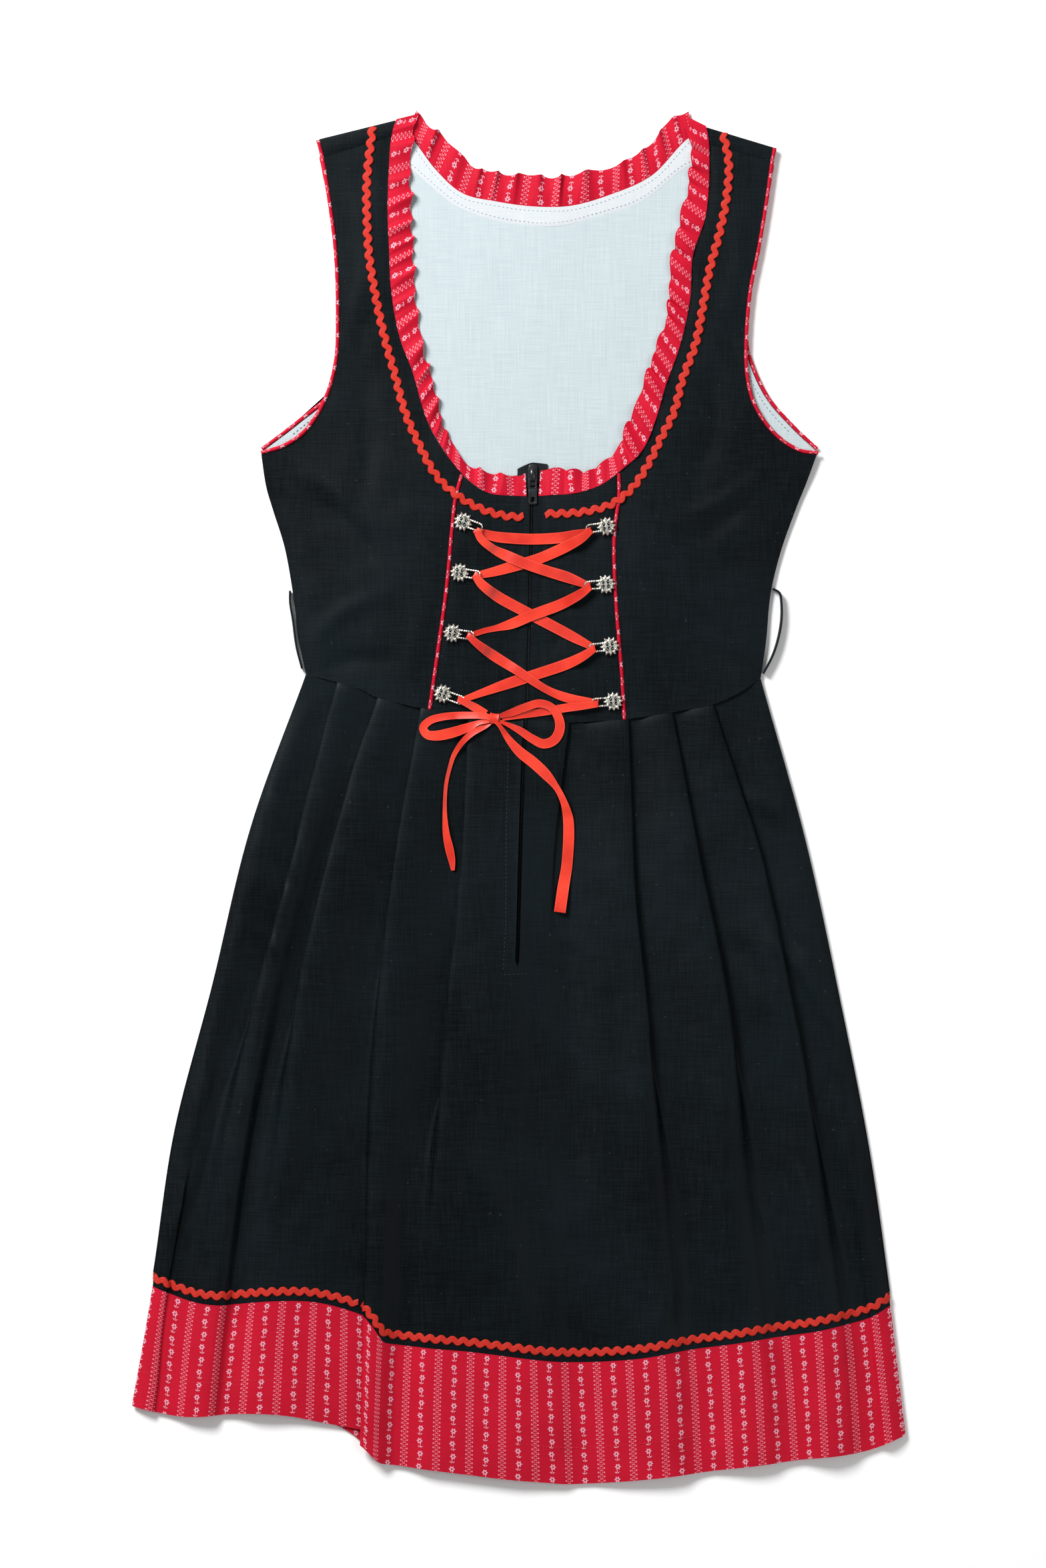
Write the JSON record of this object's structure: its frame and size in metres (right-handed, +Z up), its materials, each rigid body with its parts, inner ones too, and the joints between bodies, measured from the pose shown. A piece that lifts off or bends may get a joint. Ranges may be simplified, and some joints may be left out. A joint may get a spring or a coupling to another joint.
{
  "type": "laced dirndl dress",
  "caption": "Sleeveless black dirndl lying flat: square-rounded neck with printed ruffle, lace-up bodice over a zip, pleated skirt with printed hem band.",
  "frame": {"origin": "on the surface that the dress lies on, below the middle of its outline", "axes": "+X to the viewer's right, +Y towards the shoulders, +Z up from the surface, towards the viewer"},
  "size_m": [0.5564, 0.9884, 0.013],
  "materials": {
    "black_cloth": "fine matte weave",
    "red_print": "printed cotton",
    "white_lining": "matte weave",
    "white_facing": "matte weave",
    "ricrac_braid": "braided, slight sheen",
    "satin_ribbon": "satin",
    "antique_silver": "antique silver",
    "zip_metal": "black lacquer",
    "zip_cloth": "woven zip tape"
  },
  "bodies": {
    "dress": {"armhole_piping_back_left": "red_print", "armhole_piping_back_right": "red_print", "armhole_piping_front_left": "red_print", "armhole_piping_front_right": "red_print", "back_lining": "white_lining", "back_neck_facing": "white_facing", "belt_loop_left": "black_cloth", "belt_loop_right": "black_cloth", "bodice_back": "black_cloth", "bow_loop_left": "satin_ribbon", "bow_loop_right": "satin_ribbon", "centre_front_left": "black_cloth", "centre_front_right": "black_cloth", "hem_band_back": "red_print", "hem_band_front": "red_print", "hook_left_1": "antique_silver", "hook_left_2": "antique_silver", "hook_left_3": "antique_silver", "hook_left_4": "antique_silver", "hook_right_1": "antique_silver", "hook_right_2": "antique_silver", "hook_right_3": "antique_silver", "hook_right_4": "antique_silver", "lace_knot": "satin_ribbon", "lace_left_1_right_2": "satin_ribbon", "lace_left_2_right_3": "satin_ribbon", "lace_left_3_right_4": "satin_ribbon", "lace_left_4_knot": "satin_ribbon", "lace_right_1_left_2": "satin_ribbon", "lace_right_2_left_3": "satin_ribbon", "lace_right_3_left_4": "satin_ribbon", "lace_right_4_knot": "satin_ribbon", "lace_tail_left": "satin_ribbon", "lace_tail_right": "satin_ribbon", "lace_top": "satin_ribbon", "neck_ruffle_back": "red_print", "neck_ruffle_front_left": "red_print", "neck_ruffle_front_right": "red_print", "princess_piping_left": "red_print", "princess_piping_right": "red_print", "ricrac_hem_back": "ricrac_braid", "ricrac_hem_front_left": "ricrac_braid", "ricrac_hem_front_right": "ricrac_braid", "ricrac_neck_left": "ricrac_braid", "ricrac_neck_right": "ricrac_braid", "shoulder_fold_left": "black_cloth", "shoulder_fold_right": "black_cloth", "side_front_left": "black_cloth", "side_front_right": "black_cloth", "skirt_back": "black_cloth", "skirt_front": "black_cloth", "zip_chain": "zip_cloth", "zip_slider": "zip_metal", "zip_tape": "zip_cloth"},
    "tab": {"zip_pull": "zip_metal"}
  },
  "joints": [
    {"name": "zip_pull_hinge", "type": "hinge", "parent": "dress", "child": "tab", "pos_m": [0.01, 0.2281, 0.0071], "axis": [-1, 0, 0], "range_deg": [0, 150]}
  ]
}
